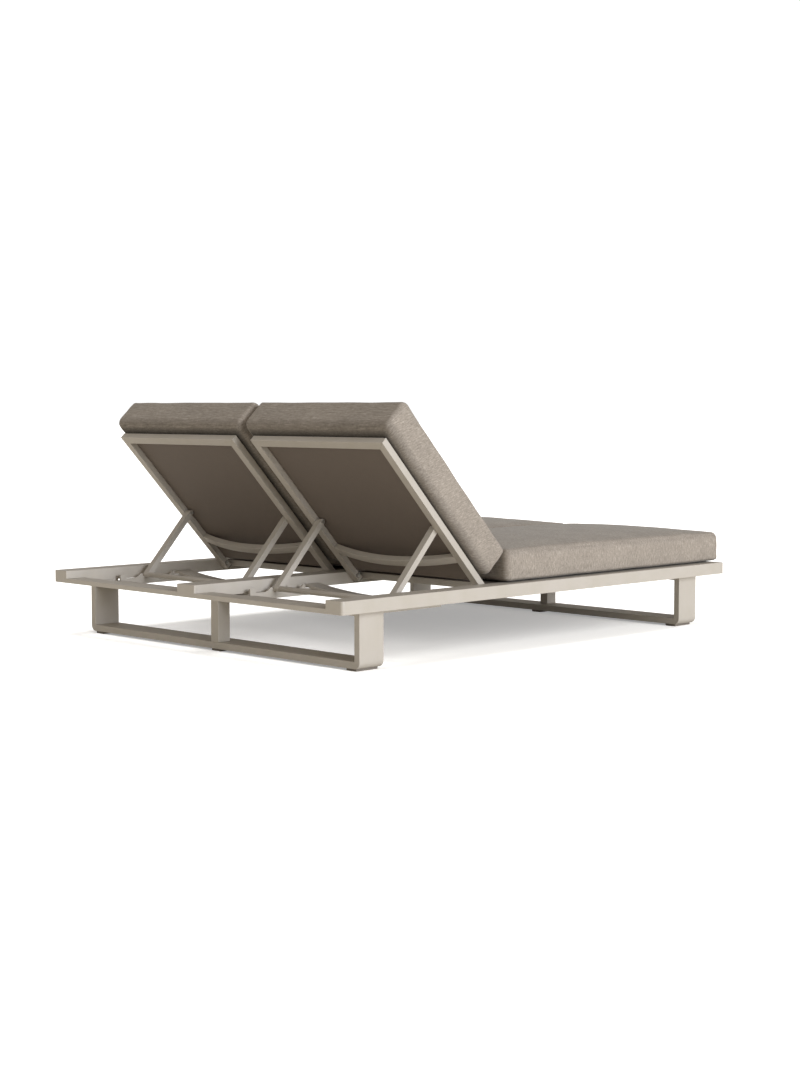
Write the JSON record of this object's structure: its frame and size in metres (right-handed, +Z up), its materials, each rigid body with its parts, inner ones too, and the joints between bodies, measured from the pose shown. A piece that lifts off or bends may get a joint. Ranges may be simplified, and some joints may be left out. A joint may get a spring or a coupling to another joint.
{
  "type": "double chaise lounger",
  "caption": "Low double outdoor lounger with sledge legs, slung bays, boxed cushions and independently reclining backs held by stays on toothed racks.",
  "frame": {"origin": "on the floor under the middle of the frame's bounding box", "axes": "+Z up, +Y towards the head end where the backs stand, +X across towards the left bay"},
  "size_m": [1.5414, 2, 0.8383],
  "materials": {
    "frame_paint": "powder-coated aluminium, satin warm grey",
    "cushion_fabric": "woven heather taupe outdoor fabric",
    "sling_mesh": "taut dark taupe mesh",
    "taupe_nylon": "matt taupe nylon",
    "stainless_steel": "brushed stainless steel"
  },
  "bodies": {
    "base": {"base_slat_left": "frame_paint", "base_slat_right": "frame_paint", "centre_posts": "frame_paint", "centre_rail": "frame_paint", "centre_rail_caps": "frame_paint", "floor_pads": "taupe_nylon", "foot_leg_frame": "frame_paint", "foot_rail_left": "frame_paint", "foot_rail_right": "frame_paint", "head_crossbar_left": "frame_paint", "head_crossbar_right": "frame_paint", "head_leg_frame": "frame_paint", "hinge_bolts": "stainless_steel", "hinge_nuts": "stainless_steel", "rack_left_inner": "frame_paint", "rack_left_outer": "frame_paint", "rack_right_inner": "frame_paint", "rack_right_outer": "frame_paint", "seat_bar_left": "frame_paint", "seat_bar_right": "frame_paint", "seat_cushion_left": "cushion_fabric", "seat_cushion_right": "cushion_fabric", "seat_sling_left": "sling_mesh", "seat_sling_right": "sling_mesh", "side_rail_caps": "frame_paint", "side_rail_left": "frame_paint", "side_rail_right": "frame_paint", "tie_bars": "frame_paint"},
    "back_left": {"back_left_bow_bar": "frame_paint", "back_left_cushion": "cushion_fabric", "back_left_hinge_bushes": "taupe_nylon", "back_left_inner_tube": "frame_paint", "back_left_outer_tube": "frame_paint", "back_left_sling": "sling_mesh", "back_left_stay_bolts": "stainless_steel", "back_left_stay_nuts": "stainless_steel", "back_left_stay_washers": "taupe_nylon", "back_left_top_tube": "frame_paint", "back_left_tube_caps": "taupe_nylon"},
    "stay_left": {"stay_left_inner_prop": "frame_paint", "stay_left_outer_prop": "frame_paint", "stay_left_rod": "frame_paint"},
    "back_right": {"back_right_bow_bar": "frame_paint", "back_right_cushion": "cushion_fabric", "back_right_hinge_bushes": "taupe_nylon", "back_right_inner_tube": "frame_paint", "back_right_outer_tube": "frame_paint", "back_right_sling": "sling_mesh", "back_right_stay_bolts": "stainless_steel", "back_right_stay_nuts": "stainless_steel", "back_right_stay_washers": "taupe_nylon", "back_right_top_tube": "frame_paint", "back_right_tube_caps": "taupe_nylon"},
    "stay_right": {"stay_right_inner_prop": "frame_paint", "stay_right_outer_prop": "frame_paint", "stay_right_rod": "frame_paint"}
  },
  "joints": [
    {"name": "recline_left", "type": "hinge", "parent": "base", "child": "back_left", "pos_m": [0.37035, 0.274, 0.2256], "axis": [1, 0, 0], "range_deg": [-46.81, 17.6]},
    {"name": "stay_left_swing", "type": "hinge", "parent": "back_left", "child": "stay_left", "pos_m": [0.37035, 0.46926, 0.42922], "axis": [1, 0, 0], "range_deg": [-35.3, 93.7]},
    {"name": "recline_right", "type": "hinge", "parent": "base", "child": "back_right", "pos_m": [-0.37035, 0.274, 0.2256], "axis": [1, 0, 0], "range_deg": [-46.81, 17.6]},
    {"name": "stay_right_swing", "type": "hinge", "parent": "back_right", "child": "stay_right", "pos_m": [-0.37035, 0.46926, 0.42922], "axis": [1, 0, 0], "range_deg": [-35.3, 93.7]}
  ],
  "couplings": [
    {"joint": "stay_left_swing", "follows": "recline_left", "ratio": -2},
    {"joint": "stay_right_swing", "follows": "recline_right", "ratio": -2}
  ]
}
